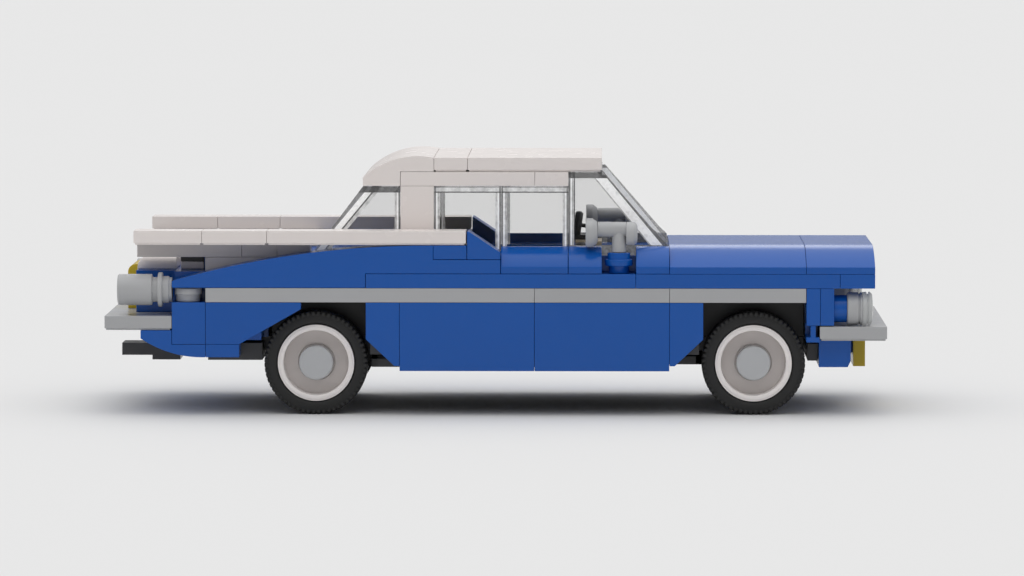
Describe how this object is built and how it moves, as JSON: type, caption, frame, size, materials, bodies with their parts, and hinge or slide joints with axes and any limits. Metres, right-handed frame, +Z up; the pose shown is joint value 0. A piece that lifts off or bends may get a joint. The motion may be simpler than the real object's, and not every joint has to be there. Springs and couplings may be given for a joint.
{
  "type": "brick-built toy car",
  "caption": "Two-tone coupe of interlocking toy bricks in 1950s style, with tail fins, a curved glass cabin, round lamps, wide bumpers and freely turning wheels",
  "frame": {"origin": "on the ground under the middle of the length and width", "axes": "+X to the nose, +Y to the left side, +Z up"},
  "size_m": [0.1854, 0.0642, 0.0613],
  "materials": {
    "blue": "gloss",
    "white": "gloss",
    "light_grey": "gloss",
    "dark_grey": "gloss",
    "clear": "clear gloss",
    "black": "gloss",
    "tan": "gloss",
    "yellow": "gloss",
    "tyre": "matte rubber"
  },
  "bodies": {
    "body": {"arch_cores": "black", "arch_strips": "blue", "belt_plates": "blue", "cabin_shoulders": "blue", "cabin_sills": "blue", "chassis_spine": "dark_grey", "corner_rounds": "light_grey", "doors": "blue", "end_plates": "dark_grey", "fender_caps": "blue", "fender_wedges": "blue", "fin_rails": "white", "fins": "white", "floor_plate": "dark_grey", "front_bumper": "light_grey", "front_deck": "blue", "front_valance": "blue", "grille": "light_grey", "headlamp_backs": "blue", "headlamp_lenses": "clear", "headlamp_rings": "light_grey", "hood_shoulders": "blue", "hood_tiles": "blue", "mirror_bases": "blue", "mirrors": "light_grey", "nose_clips": "blue", "nose_plates": "blue", "number_plates": "yellow", "pillars": "white", "quarter_panels": "blue", "rear_bumper": "light_grey", "rear_core": "blue", "rear_valance": "blue", "rear_windscreen": "clear", "roof_plates": "white", "roof_slopes": "white", "roof_tiles": "white", "seats": "tan", "side_walls": "dark_grey", "side_windows": "clear", "steering_stand": "tan", "steering_wheel": "black", "stripe_plates": "light_grey", "tail_lamps": "light_grey", "tow_bar": "dark_grey", "trunk_latch": "black", "trunk_lid": "blue", "windscreen": "clear"},
    "wheel_front_right": {"hub_cap_front_right": "light_grey", "rim_front_right": "white", "tyre_front_right": "tyre"},
    "wheel_front_left": {"hub_cap_front_left": "light_grey", "rim_front_left": "white", "tyre_front_left": "tyre"},
    "wheel_rear_right": {"hub_cap_rear_right": "light_grey", "rim_rear_right": "white", "tyre_rear_right": "tyre"},
    "wheel_rear_left": {"hub_cap_rear_left": "light_grey", "rim_rear_left": "white", "tyre_rear_left": "tyre"}
  },
  "joints": [
    {"name": "front_right_spin", "type": "hinge", "parent": "body", "child": "wheel_front_right", "pos_m": [0.06123, -0.0245, 0.0123], "axis": [0, 1, 0], "continuous": true},
    {"name": "front_left_spin", "type": "hinge", "parent": "body", "child": "wheel_front_left", "pos_m": [0.06123, 0.0245, 0.0123], "axis": [0, 1, 0], "continuous": true},
    {"name": "rear_right_spin", "type": "hinge", "parent": "body", "child": "wheel_rear_right", "pos_m": [-0.04278, -0.0245, 0.0123], "axis": [0, 1, 0], "continuous": true},
    {"name": "rear_left_spin", "type": "hinge", "parent": "body", "child": "wheel_rear_left", "pos_m": [-0.04278, 0.0245, 0.0123], "axis": [0, 1, 0], "continuous": true}
  ]
}
